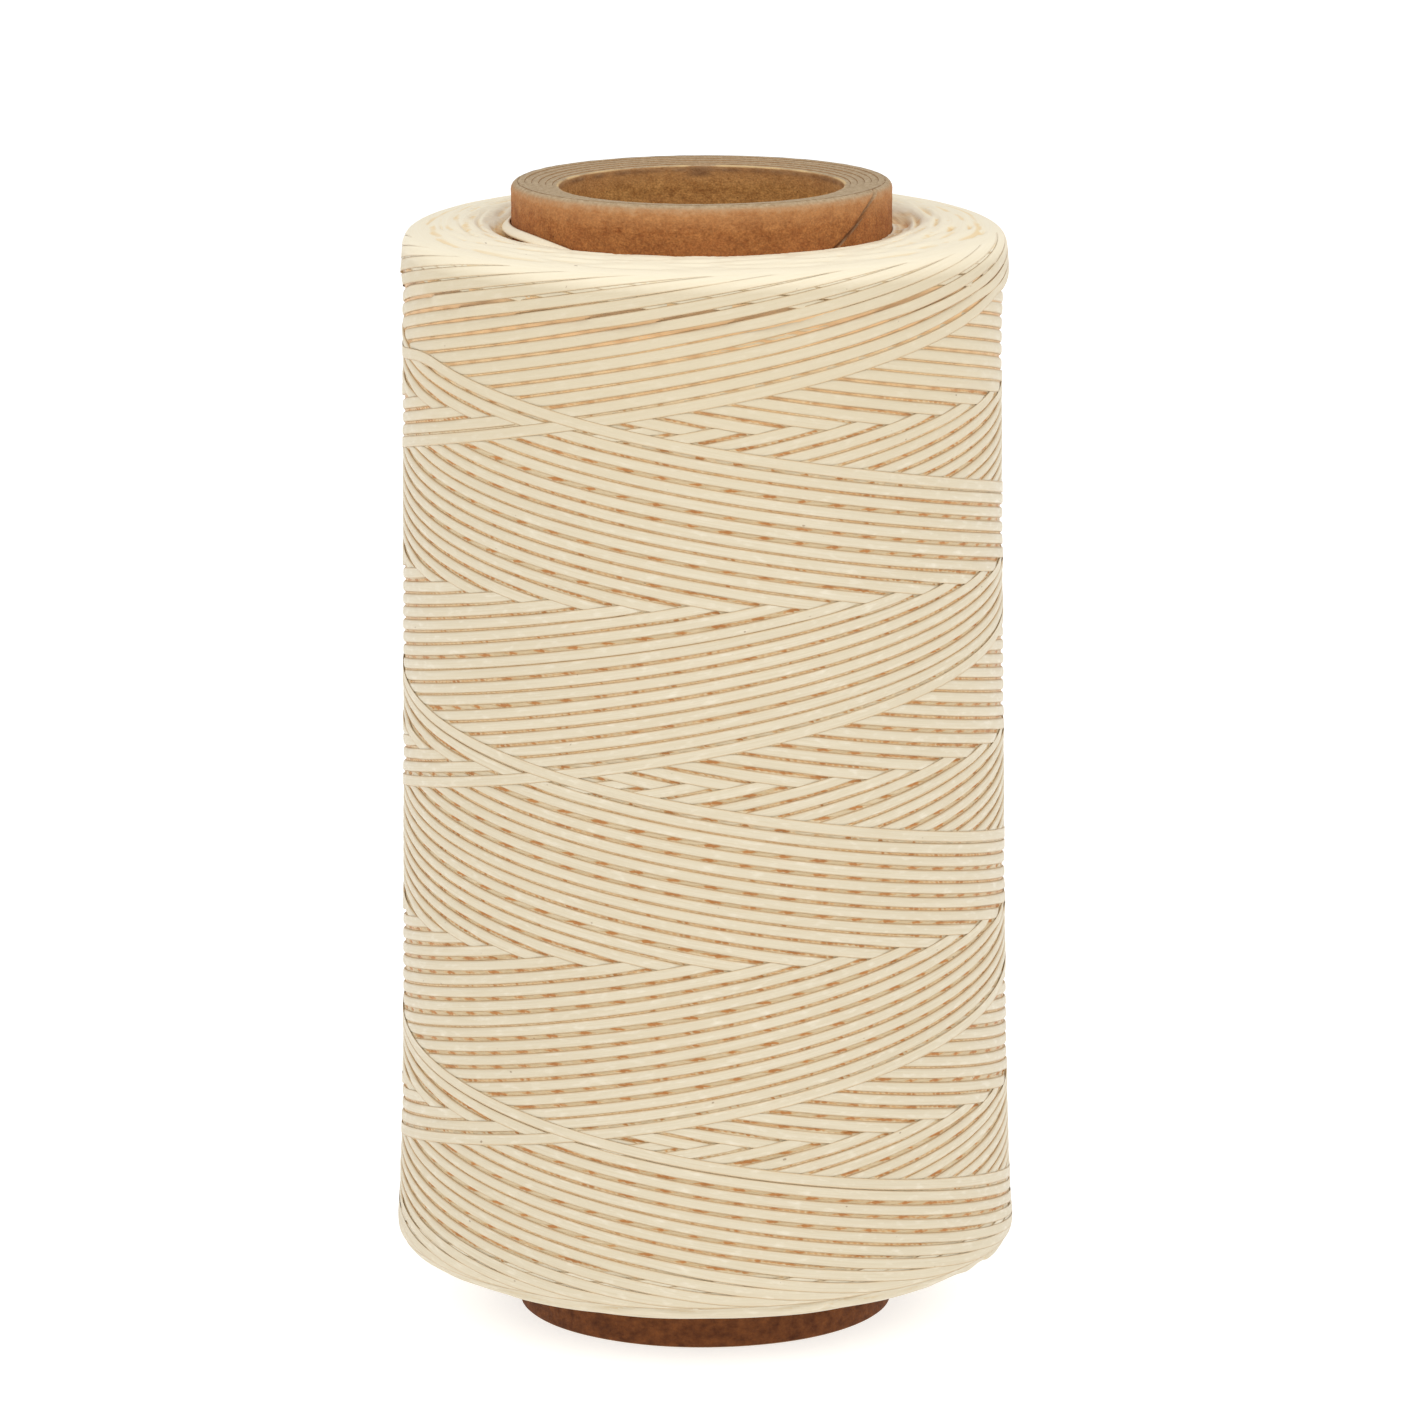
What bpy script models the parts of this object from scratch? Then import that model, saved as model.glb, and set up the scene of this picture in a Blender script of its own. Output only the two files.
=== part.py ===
"""Waxed thread spool: flat waxed thread cross-wound on a thick paper tube.

The tube is rolled from plies of kraft board, the outermost a spiral strip whose
edges butt together.  The winding is one long thread, modelled as the three
depths in which it was laid, with one turn that has slipped off the shoulder.
The origin is on the tube's axis, at its bottom end, and +Z runs up the tube.
"""

import math

import bmesh
import bpy
from mathutils import Matrix

MM = 0.001

# Driving dimensions of the paper tube.
BORE_RADIUS = 12.5 * MM
TUBE_RADIUS = 16.7 * MM
TUBE_HEIGHT = 101.4 * MM
END_DISH = 0.4 * MM
PLY_COUNT = 7
GLUE_LINE = 0.06 * MM
RIM_CHAMFER = 0.35 * MM

# The butt seam of the outermost ply, a helix that climbs anticlockwise.
SEAM_LEAD = 71.0 * MM
SEAM_WIDTH = 0.35 * MM
SEAM_TOP_ANGLE = math.radians(-24.0)
SEAM_OVERRUN = 6.0 * MM

# Driving dimensions of the winding.
WINDING_TOP_RADIUS = 26.3 * MM
WINDING_TAPER = 0.9 * MM
TAPER_TOP = 89.0 * MM
FLARE = 0.55 * MM
FLARE_FOOT = 8.0 * MM
FLARE_LENGTH = 9.0 * MM
CREST_RADIUS = 20.5 * MM
CREST_HEIGHT = 98.05 * MM
UNDERSIDE_HEIGHT = 4.4 * MM
VALLEY_DEPTH = 0.9 * MM
VALLEY_WIDTH = 3.5 * MM
SHOULDER_DROP = 1.0 * MM
SHOULDER_WIDTH = 5.2 * MM
TOP_FILLET = 1.2 * MM
BOTTOM_FILLET = 1.3 * MM
FILLET_RUN_IN = 0.5 * MM

# Depths at which the winding is divided, outwards from the tube.
TOUCH_GAP = 0.3 * MM
INNER_LAYERS_RADIUS = 20.2 * MM
MIDDLE_LAYERS_RADIUS = 23.6 * MM

# The turn that has slipped off the shoulder and lies round the tube's foot.
THREAD_THICKNESS = 0.9 * MM
SLIPPED_START = math.radians(-200.0)
SLIPPED_END = math.radians(-124.0)
SLIPPED_LIFT = 0.7 * MM
SLIPPED_POINTS = 22

SEGMENTS = 64


def make_material(name, colour, roughness):
    """A Principled material of one colour."""
    material = bpy.data.materials.new(name)
    material.use_nodes = True
    shader = material.node_tree.nodes["Principled BSDF"]
    shader.inputs["Base Color"].default_value = (*colour, 1.0)
    shader.inputs["Roughness"].default_value = roughness
    shader.inputs["Metallic"].default_value = 0.0
    material.diffuse_color = (*colour, 1.0)
    return material


def make_collection(name):
    collection = bpy.data.collections.new(name)
    bpy.context.scene.collection.children.link(collection)
    return collection


def turned_piece(name, outline, material, collection):
    """A ring turned from (radius, height) points, outer side first and downwards."""
    points = [(radius, 0.0, height) for radius, height in outline]
    edges = [(i, (i + 1) % len(points)) for i in range(len(points))]
    mesh = bpy.data.meshes.new(name)
    mesh.from_pydata(points, edges, [])
    mesh.materials.append(material)
    piece = bpy.data.objects.new(name, mesh)
    collection.objects.link(piece)
    turn = piece.modifiers.new("turn", "SCREW")
    turn.axis = "Z"
    turn.angle = math.tau
    turn.steps = SEGMENTS
    turn.render_steps = SEGMENTS
    turn.use_merge_vertices = True
    turn.merge_threshold = 0.00001
    turn.use_smooth_shade = True
    return piece


def fillet(centre_radius, centre_height, size, start, end, steps):
    """Points of a rounded corner, from one angle to another in degrees."""
    points = []
    for i in range(steps + 1):
        angle = math.radians(start + (end - start) * i / steps)
        points.append((centre_radius + size * math.cos(angle),
                       centre_height + size * math.sin(angle)))
    return points


# ---- the paper tube ----

def ply_radii(index):
    """Inner and outer radius of one ply, counted outwards from the bore."""
    wall = TUBE_RADIUS - BORE_RADIUS
    thickness = (wall - GLUE_LINE * (PLY_COUNT - 1)) / PLY_COUNT
    inner = BORE_RADIUS + index * (thickness + GLUE_LINE)
    return inner, inner + thickness


def ply_top(index):
    """Height of one ply's upper end: the cut end is a little dished towards the bore."""
    return TUBE_HEIGHT - END_DISH * max(1.0 - index / (PLY_COUNT - 2), 0.0)


def build_inner_plies(materials, collection):
    """Every ply but the outermost: plain sleeves that meet in the dished upper end."""
    for index in range(PLY_COUNT - 1):
        inner, outer = ply_radii(index)
        name = "core_inner_ply" if index == 0 else f"core_body_ply_{index}"
        top = ply_top(index)
        outline = [(outer, top), (outer, 0.0), (inner, 0.0), (inner, top)]
        turned_piece(name, outline, materials[name], collection)


def seam_cutter(collection):
    """A thin helical bar that passes right through the outermost ply."""
    inner, outer = ply_radii(PLY_COUNT - 1)
    low, high = inner - GLUE_LINE / 2, outer + GLUE_LINE
    climb = TUBE_HEIGHT + 2.0 * SEAM_OVERRUN
    sweep = math.tau * climb / SEAM_LEAD
    steps = round(SEGMENTS * sweep / math.tau)
    start = SEAM_TOP_ANGLE - math.tau * (TUBE_HEIGHT + SEAM_OVERRUN) / SEAM_LEAD
    bar = bmesh.new()
    corners = [(low, -SEAM_WIDTH / 2), (high, -SEAM_WIDTH / 2),
               (high, SEAM_WIDTH / 2), (low, SEAM_WIDTH / 2)]
    verts = [bar.verts.new((radius, 0.0, height - SEAM_OVERRUN)) for radius, height in corners]
    face = bar.faces.new(verts)
    bmesh.ops.rotate(bar, verts=bar.verts, cent=(0, 0, 0), matrix=Matrix.Rotation(start, 3, "Z"))
    bmesh.ops.spin(bar, geom=[face, *face.edges, *face.verts], cent=(0, 0, 0), axis=(0, 0, 1),
                   dvec=(0, 0, climb / steps), angle=sweep, steps=steps, use_duplicate=False)
    bmesh.ops.recalc_face_normals(bar, faces=bar.faces)
    mesh = bpy.data.meshes.new("seam_cutter")
    bar.to_mesh(mesh)
    bar.free()
    cutter = bpy.data.objects.new("seam_cutter", mesh)
    cutter.hide_render = True
    cutter.display_type = "WIRE"
    collection.objects.link(cutter)
    return cutter


def build_outer_ply(material, collection, cutters):
    """The spiral-wound outer strip, with its rims eased and its edges butted."""
    inner, outer = ply_radii(PLY_COUNT - 1)
    outline = [(outer - RIM_CHAMFER, TUBE_HEIGHT), (outer, TUBE_HEIGHT - RIM_CHAMFER),
               (outer, RIM_CHAMFER), (outer - RIM_CHAMFER, 0.0),
               (inner, 0.0), (inner, TUBE_HEIGHT)]
    ply = turned_piece("core_outer_ply", outline, material, collection)
    seam = ply.modifiers.new("butt_seam", "BOOLEAN")
    seam.operation = "DIFFERENCE"
    seam.solver = "EXACT"
    seam.object = seam_cutter(cutters)


# ---- the winding ----

def flank_radius(height):
    """Radius of the winding's side: nearly straight, and flared at the foot."""
    lean = WINDING_TAPER * max(TAPER_TOP - height, 0.0) / TAPER_TOP
    flare = FLARE * math.exp(-(height - FLARE_FOOT) / FLARE_LENGTH)
    return WINDING_TOP_RADIUS + lean + flare


def fall_from_crest(radius):
    """How far an end of the winding has fallen away from its crest."""
    if radius < CREST_RADIUS:
        return VALLEY_DEPTH * ((CREST_RADIUS - radius) / VALLEY_WIDTH) ** 2
    return SHOULDER_DROP * ((radius - CREST_RADIUS) / SHOULDER_WIDTH) ** 2


def top_height(radius):
    """Height of the winding's upper end."""
    return CREST_HEIGHT - fall_from_crest(radius)


def bottom_height(radius):
    """Height of the winding's lower end."""
    return UNDERSIDE_HEIGHT + fall_from_crest(radius)


def end_points(height_at, start, end, steps):
    """Points along one end of the winding, from one radius to another."""
    radii = [start + (end - start) * i / steps for i in range(steps + 1)]
    return [(radius, height_at(radius)) for radius in radii]


def build_buried_layers(name, inner, outer, material, collection):
    """A depth of the winding whose side is covered by later layers."""
    outline = end_points(bottom_height, outer, inner, 3) + end_points(top_height, inner, outer, 3)
    turned_piece(name, outline, material, collection)


def build_outer_layers(inner, material, collection):
    """The last layers, with the leaning side and rounded shoulders."""
    shoulder = WINDING_TOP_RADIUS - TOP_FILLET
    foot = flank_radius(FLARE_FOOT) - BOTTOM_FILLET
    top_centre = top_height(shoulder) - TOP_FILLET
    bottom_centre = bottom_height(foot) + BOTTOM_FILLET
    side_heights = [80.0, 60.0, 40.0, 26.0, 18.0, 12.0]
    outline = fillet(shoulder, top_centre, TOP_FILLET, 75.0, 0.0, 4)
    outline += [(flank_radius(height * MM), height * MM) for height in side_heights]
    outline += fillet(foot, bottom_centre, BOTTOM_FILLET, 0.0, -80.0, 4)
    outline += end_points(bottom_height, foot - FILLET_RUN_IN, inner, 2)
    outline += end_points(top_height, inner, shoulder - FILLET_RUN_IN, 2)
    turned_piece("thread_outer_layers", outline, material, collection)


def build_slipped_turn(material, collection):
    """A stretch of one turn, off the shoulder and round the foot of the tube."""
    half = THREAD_THICKNESS / 2
    path_radius = TUBE_RADIUS + TOUCH_GAP + half
    rest_height = top_height(path_radius + half) + TOUCH_GAP + half
    curve = bpy.data.curves.new("slipped_thread_turn", "CURVE")
    curve.dimensions = "3D"
    curve.bevel_depth = half
    curve.bevel_resolution = 2
    curve.use_fill_caps = True
    spline = curve.splines.new("POLY")
    spline.points.add(SLIPPED_POINTS - 1)
    for i, point in enumerate(spline.points):
        along = i / (SLIPPED_POINTS - 1)
        angle = SLIPPED_START + (SLIPPED_END - SLIPPED_START) * along
        lift = SLIPPED_LIFT * math.sin(math.pi * along) ** 2
        point.co = (path_radius * math.cos(angle), path_radius * math.sin(angle),
                    rest_height + lift, 1.0)
    turn = bpy.data.objects.new("slipped_thread_turn", curve)
    curve.materials.append(material)
    collection.objects.link(turn)


def main():
    for old in list(bpy.data.objects):
        bpy.data.objects.remove(old, do_unlink=True)
    parts = make_collection("waxed_thread_spool")
    cutters = make_collection("cutters")

    materials = {}
    for index in range(PLY_COUNT - 1):
        name = "core_inner_ply" if index == 0 else f"core_body_ply_{index}"
        shade = 0.02 * (index % 2)
        materials[name] = make_material(name, (0.47 + shade, 0.38 + shade, 0.29 + shade), 0.9)
    kraft = make_material("core_outer_ply", (0.55, 0.30, 0.15), 0.75)
    build_inner_plies(materials, parts)
    build_outer_ply(kraft, parts, cutters)

    inner_start = TUBE_RADIUS + TOUCH_GAP
    middle_start = INNER_LAYERS_RADIUS + TOUCH_GAP
    outer_start = MIDDLE_LAYERS_RADIUS + TOUCH_GAP
    build_buried_layers("thread_inner_layers", inner_start, INNER_LAYERS_RADIUS,
                        make_material("thread_inner_layers", (0.70, 0.62, 0.46), 0.6), parts)
    build_buried_layers("thread_middle_layers", middle_start, MIDDLE_LAYERS_RADIUS,
                        make_material("thread_middle_layers", (0.76, 0.68, 0.52), 0.55), parts)
    build_outer_layers(outer_start, make_material("thread_outer_layers", (0.82, 0.75, 0.60), 0.5),
                       parts)
    build_slipped_turn(make_material("slipped_thread_turn", (0.84, 0.77, 0.62), 0.5), parts)


main()
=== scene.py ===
"""The looks of the waxed thread spool.

The winding is laid strand by strand: every pass of the thread is a path over the
package, it rests on the strands already there under its own tension, and the
next pass rests on it.  Lengths are in millimetres until a mesh is made.
"""

import math

import bpy
import numpy as np
from mathutils import Matrix, Vector


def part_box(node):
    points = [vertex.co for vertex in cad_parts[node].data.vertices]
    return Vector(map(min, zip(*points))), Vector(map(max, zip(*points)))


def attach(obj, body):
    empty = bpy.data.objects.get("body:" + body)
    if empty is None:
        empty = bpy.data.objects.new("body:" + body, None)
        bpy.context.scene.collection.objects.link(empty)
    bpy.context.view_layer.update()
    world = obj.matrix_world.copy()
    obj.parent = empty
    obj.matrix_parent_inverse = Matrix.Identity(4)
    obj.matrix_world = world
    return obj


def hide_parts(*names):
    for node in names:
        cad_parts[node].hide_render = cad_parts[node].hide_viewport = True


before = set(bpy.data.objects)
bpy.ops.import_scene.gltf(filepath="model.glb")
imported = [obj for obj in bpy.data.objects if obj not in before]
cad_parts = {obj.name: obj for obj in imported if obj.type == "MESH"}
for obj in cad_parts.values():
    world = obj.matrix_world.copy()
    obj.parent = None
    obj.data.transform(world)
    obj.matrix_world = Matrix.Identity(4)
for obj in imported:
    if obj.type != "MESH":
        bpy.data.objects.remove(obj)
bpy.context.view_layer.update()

MM = 0.001
TURN = 2.0 * math.pi


def cad_outer_radius(node):
    """Outer radius of a turned CAD node, in millimetres."""
    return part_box(node)[1].x / MM


# ---- the tube, in millimetres, with its sizes from the frame ----

TUBE_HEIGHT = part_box("core_outer_ply")[1].z / MM
TUBE_RADIUS = cad_outer_radius("core_outer_ply")
PLY_NODES = ["core_inner_ply"] + [f"core_body_ply_{i}" for i in range(1, 6)] + ["core_outer_ply"]
PLY_RADII = [cad_outer_radius(node) for node in PLY_NODES]
BORE_RADIUS = 12.5
GLUE_LINE = 0.015
END_DISH = 0.4
SEAM_LEAD = 71.0
SEAM_TOP_ANGLE = math.radians(66.0)
WORN_RIM = 0.7
LINER_LIP = 0.25
CUT_EDGE = 0.02
END_RECESS = 0.03
PLY_RECESS = (0.0, 0.0, 0.012, 0.0, 0.010, 0.0, 0.0)

# ---- the winding's outline, the same one that the CAD has ----

WINDING_TOP_RADIUS = 26.3
WINDING_TAPER = 0.9
TAPER_TOP = 89.0
FLARE = 0.55
FLARE_FOOT = 8.0
FLARE_LENGTH = 9.0
CREST_RADIUS = 20.5
CREST_HEIGHT = 98.05
UNDERSIDE_HEIGHT = 4.4
VALLEY_DEPTH = 0.9
VALLEY_WIDTH = 3.5
SHOULDER_DROP = 1.0
SHOULDER_WIDTH = 5.2
TOP_FILLET = 1.2
BOTTOM_FILLET = 1.3

# ---- how the real ends depart from that outline ----

TUBE_CLEARANCE = 0.02
TUBE_BLEND = 0.7
UPPER_LEAN = 0.45
BACK_DROP = 0.28
FOOT_RISE = 0.40
FOOT_TILT = 0.06
BULGE = 0.55
BULGE_ANGLE = math.radians(80.0)

# Where turns of the upper end have slipped apart.  Each is the degrees round the spool,
# the run, the depth, the width round the spool in radians and the width along the run.
HOLLOWS = ((99.0, 1.3, 0.42, 0.24, 0.7),
           (-70.0, 0.6, 1.1, 0.22, 1.0),
           (74.0, 1.5, 0.30, 0.12, 0.26),
           (88.0, 2.3, 0.35, 0.18, 0.22),
           (62.0, 3.0, 0.30, 0.12, 0.22),
           (84.0, 4.0, 0.30, 0.13, 0.18),
           (66.0, 5.2, 0.30, 0.09, 0.16),
           (77.0, 5.6, 0.30, 0.07, 0.15),
           (84.0, 6.9, 0.28, 0.06, 0.15),
           (80.0, 8.1, 0.28, 0.05, 0.16),
           (-78.0, 1.7, 0.40, 0.16, 0.22),
           (-86.0, 3.0, 0.28, 0.20, 0.18),
           (-76.0, 4.6, 0.25, 0.16, 0.16),
           (-84.0, 6.3, 0.25, 0.09, 0.16),
           (103.0, 3.7, 0.35, 0.12, 0.25))

# ---- the thread, and the way it is wound ----

STRAND_WIDTH = 0.95
STRAND_THICKNESS = 0.24
WIDER_AT_TOP = 0.10
SUNK_AT_TOP = 0.35
LEAD = 31.2
PASSES = 27
PITCH = LEAD / 26.3
CROSS_ANGLE = math.radians(-30.8)
CROSS_HEIGHT = 53.0
TURNS_PER_PASS = 3
HALF_STROKE = TURNS_PER_PASS * LEAD / 2.0
TOP_ROUNDING = 1.6
BOTTOM_ROUNDING = 1.1
END_MARGIN = 0.55
END_SPREAD = math.radians(50.0)
SLIPPED_HEIGHT = 97.78
SLIPPED_LEAN = math.radians(46.0)
SLIPPED_FROM = -150.0
SLIPPED_TO = -24.0
SLIPPED_NUMBER = 71.0

# ---- heights between which painted shade and painted light change the thread's colour ----

SHADED_BAND_FROM = 74.0
SHADED_BAND_ABOVE = 86.0
LIT_TOP_FROM = 95.2
LIT_TOP_ABOVE = 96.8
BED_LIGHT_FROM = 82.0
BED_LIGHT_ABOVE = 92.0

# ---- the studio, in metres ----

CAMERA_PLACE = (0.00045, -0.630, 0.18738)
CAMERA_DOWN = math.radians(11.947)
CAMERA_ROLL = math.radians(-0.2)
CAMERA_LENS = 184.16
ROOM_LIGHT = 0.68
CARD_GLOW = 0.64
CARD_HALF = 5.0
PANEL_POWER = 4.25
PANEL_SIZE = 0.9
PANEL_AIM = (0.0, 0.0, 0.05)
RIGHT_PANEL_GAIN = 1.08

random = np.random.default_rng(7)


# ---- the surface that the thread is wound to ----

def fall_from_crest(radius):
    """How far an end of the winding has fallen away from its crest."""
    inside = VALLEY_DEPTH * ((CREST_RADIUS - radius) / VALLEY_WIDTH) ** 2
    outside = SHOULDER_DROP * ((radius - CREST_RADIUS) / SHOULDER_WIDTH) ** 2
    return np.where(radius < CREST_RADIUS, inside, outside)


def flank_radius(height):
    """Radius of the winding's side: nearly straight, and flared at the foot."""
    lean = WINDING_TAPER * np.maximum(TAPER_TOP - height, 0.0) / TAPER_TOP
    return WINDING_TOP_RADIUS + lean + FLARE * np.exp(-(height - FLARE_FOOT) / FLARE_LENGTH)


def fade_in(value, width):
    """0 up to zero, 1 from width on, and straight between them."""
    return np.clip(value / width, 0.0, 1.0)


def smooth(values, reach, rounds=3):
    """A running mean over reach samples each way, repeated, with the ends held."""
    for _ in range(rounds):
        padded = np.pad(values, reach, mode="edge")
        total = np.cumsum(np.insert(padded, 0, 0.0))
        values = (total[2 * reach + 1:] - total[:-2 * reach - 1]) / (2 * reach + 1)
    return values


def winding_outline():
    """Radius and height down the outside of the winding, every tenth of a millimetre."""
    inner = TUBE_RADIUS + 0.05
    shoulder = WINDING_TOP_RADIUS - TOP_FILLET
    foot = float(flank_radius(FLARE_FOOT)) - BOTTOM_FILLET
    top = np.linspace(inner, shoulder - 0.3, 60)
    shoulder_height = float(CREST_HEIGHT - fall_from_crest(shoulder)) - TOP_FILLET
    foot_height = float(UNDERSIDE_HEIGHT + fall_from_crest(foot)) + BOTTOM_FILLET
    turn = np.radians(np.linspace(78.0, 0.0, 12))
    side = np.linspace(shoulder_height - 1.0, foot_height + 1.0, 120)
    under = np.linspace(foot - 0.3, inner, 60)
    radius = np.concatenate([top, shoulder + TOP_FILLET * np.cos(turn), flank_radius(side),
                             foot + BOTTOM_FILLET * np.cos(turn[::-1]), under])
    height = np.concatenate([CREST_HEIGHT - fall_from_crest(top),
                             shoulder_height + TOP_FILLET * np.sin(turn), side,
                             foot_height - BOTTOM_FILLET * np.sin(turn[::-1]),
                             UNDERSIDE_HEIGHT + fall_from_crest(under)])
    run = np.insert(np.cumsum(np.hypot(np.diff(radius), np.diff(height))), 0, 0.0)
    even = np.linspace(0.0, run[-1], int(run[-1] / 0.1))
    return even, smooth(np.interp(even, run, radius), 4), smooth(np.interp(even, run, height), 4)


RUN, RUN_RADIUS, RUN_HEIGHT = winding_outline()
SLOPE_R = np.gradient(RUN_RADIUS, RUN)
SLOPE_Z = np.gradient(RUN_HEIGHT, RUN)
MIDDLE_RUN = float(np.interp(-50.0, -RUN_HEIGHT, RUN))


def run_at(height):
    """How far down the outline a height on the side is, carried on straight past both ends."""
    return MIDDLE_RUN + (50.0 - height)


def surface_point(angle, run, lift):
    """A point over the winding's surface. Angle 0 is the front, and it grows to the right."""
    radius = np.interp(run, RUN, RUN_RADIUS) - lift * np.interp(run, RUN, SLOPE_Z)
    radius = np.maximum(radius, TUBE_RADIUS + TUBE_CLEARANCE)
    at_tube = np.clip(1.0 - np.minimum(run, RUN[-1] - run) / TUBE_BLEND, 0.0, 1.0)
    radius = radius + at_tube * (TUBE_RADIUS + TUBE_CLEARANCE - radius)
    height = np.interp(run, RUN, RUN_HEIGHT) + lift * np.interp(run, RUN, SLOPE_R)
    height = height + sag(angle, run)
    radius = radius + BULGE * hump(angle, run, BULGE_ANGLE, 11.5, 0.7, 3.6)
    return np.stack([radius * np.sin(angle), -radius * np.cos(angle), height], axis=-1)


def hump(angle, run, at_angle, at_run, angle_width, run_width):
    """A smooth hump of height 1, round a place on the winding."""
    away = (angle - at_angle + math.pi) % TURN - math.pi
    return np.exp(-(away / angle_width) ** 2 - ((run - at_run) / run_width) ** 2)


def sag(angle, run):
    """Height that the ends gain: the upper one leans and has hollows, the lower one rises at
    the sides."""
    top = fade_in(16.0 - run, 8.0)
    lean = -UPPER_LEAN * np.cos(angle) * top * top * (3.0 - 2.0 * top)
    behind = (0.5 - 0.5 * np.cos(angle)) ** 2
    lean = lean - BACK_DROP * behind * np.exp(-((run - 6.5) / 2.6) ** 2)
    foot = fade_in(run - RUN[-1] + 16.0, 8.0)
    rise = foot * (FOOT_RISE * np.sin(angle) ** 2 - FOOT_TILT * np.sin(angle))
    return lean + rise - hollows(angle, run)


def hollows(angle, run):
    """Depth of the hollows in the upper end where turns have slipped apart."""
    total = np.zeros(np.broadcast(angle, run).shape)
    for degrees, at_run, depth, angle_width, run_width in HOLLOWS:
        total += depth * hump(angle, run, math.radians(degrees), at_run, angle_width, run_width)
    return total


# ---- laying the thread ----

ANGLE_CELLS = 1080
CELL_RUN = 0.12
RUN_CELLS = int(RUN[-1] / CELL_RUN) + 1
STEP = 0.4
PILE_KEEPS = 0.08
WAX_DEPTH = 0.10
RELIEF = 0.38
TOP_SKIN = 12.0
BOTTOM_SKIN = 12.0
laid = np.zeros((ANGLE_CELLS, RUN_CELLS), np.float32)
ACROSS = np.linspace(-0.42, 0.42, 7) * STRAND_WIDTH
SPLAT = np.linspace(-0.5, 0.5, 11)


def look_up(field, angle, run):
    """A field's values at these places, between the cells."""
    a = (angle / TURN % 1.0) * ANGLE_CELLS
    r = np.clip(run / CELL_RUN, 0.0, RUN_CELLS - 1.001)
    a0 = np.floor(a).astype(int)
    r0 = np.floor(r).astype(int)
    fa, fr = a - a0, r - r0
    a0, a1 = a0 % ANGLE_CELLS, (a0 + 1) % ANGLE_CELLS
    low = field[a0, r0] * (1 - fa) + field[a1, r0] * fa
    high = field[a0, r0 + 1] * (1 - fa) + field[a1, r0 + 1] * fa
    return low * (1 - fr) + high * fr


def stretch_over(support, step, bend):
    """The tight thread over its supports: it can't drop faster than its tension lets it."""
    reach = int(math.sqrt(2.0 * bend * 0.8) / step) + 1
    padded = np.pad(support, reach, mode="edge")
    best = support.copy()
    for shift in range(1, reach + 1):
        drop = (shift * step) ** 2 / (2.0 * bend)
        best = np.maximum(best, padded[reach + shift:reach + shift + len(support)] - drop)
        best = np.maximum(best, padded[reach - shift:reach - shift + len(support)] - drop)
    return best


def lay(angle, run, start=None, bend=15.0):
    """Lays one stretch of thread along a path of even steps and returns its strand."""
    radius = np.interp(run, RUN, RUN_RADIUS)
    along = np.stack([np.gradient(angle) * radius, np.gradient(run)], axis=-1)
    length = np.linalg.norm(along, axis=-1)
    along = along / length[:, None]
    side_angle = -along[:, 1] / radius
    side_run = along[:, 0]
    found = look_up(laid, angle[:, None] + side_angle[:, None] * ACROSS,
                    run[:, None] + side_run[:, None] * ACROSS)
    middle = len(ACROSS) // 2
    edges = []
    for half in (found[:, :middle + 1], found[:, middle:]):
        support = half.max(axis=1)
        if start is not None:
            support[0] = max(support[0], start)
        edges.append(smooth(stretch_over(support, STEP, bend), 1, 2))
    low, high = edges
    strand = {"angle": angle, "run": run, "side_angle": side_angle, "side_run": side_run,
              "low": low, "high": high, "length": np.cumsum(length)}
    press_down(strand)
    return strand


def press_down(strand):
    """Raises the heights of what is laid by one strand."""
    count = len(strand["angle"])
    fine = np.linspace(0, count - 1, 3 * count)
    part = {key: np.interp(fine, np.arange(count), values) for key, values in strand.items()}
    across = SPLAT * STRAND_WIDTH
    angle = part["angle"][:, None] + part["side_angle"][:, None] * across
    run = part["run"][:, None] + part["side_run"][:, None] * across
    tilt = part["low"][:, None] * (0.5 - SPLAT) + part["high"][:, None] * (0.5 + SPLAT)
    top = tilt + STRAND_THICKNESS * (1.0 - 0.75 * np.abs(2.0 * SPLAT) ** 5)
    a = np.round(angle / TURN * ANGLE_CELLS).astype(int) % ANGLE_CELLS
    r = np.clip(np.round(run / CELL_RUN).astype(int), 0, RUN_CELLS - 1)
    np.maximum.at(laid, (a.ravel(), r.ravel()), top.ravel().astype(np.float32))


def wander(count, size, waves):
    """A slow random drift along a stretch of thread."""
    along = np.linspace(0.0, 1.0, count)
    total = np.zeros(count)
    for wave in waves:
        total += np.sin(TURN * (wave * along + random.random())) / len(waves)
    return size * total


def round_noise(angle, size, lowest, highest):
    """A random wave round the tube that meets itself, with waves of these counts."""
    total = np.zeros_like(angle)
    for waves in range(lowest, highest + 1):
        total += np.sin(waves * angle + random.random() * TURN) / math.sqrt(highest - lowest + 1)
    return size * total


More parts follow.
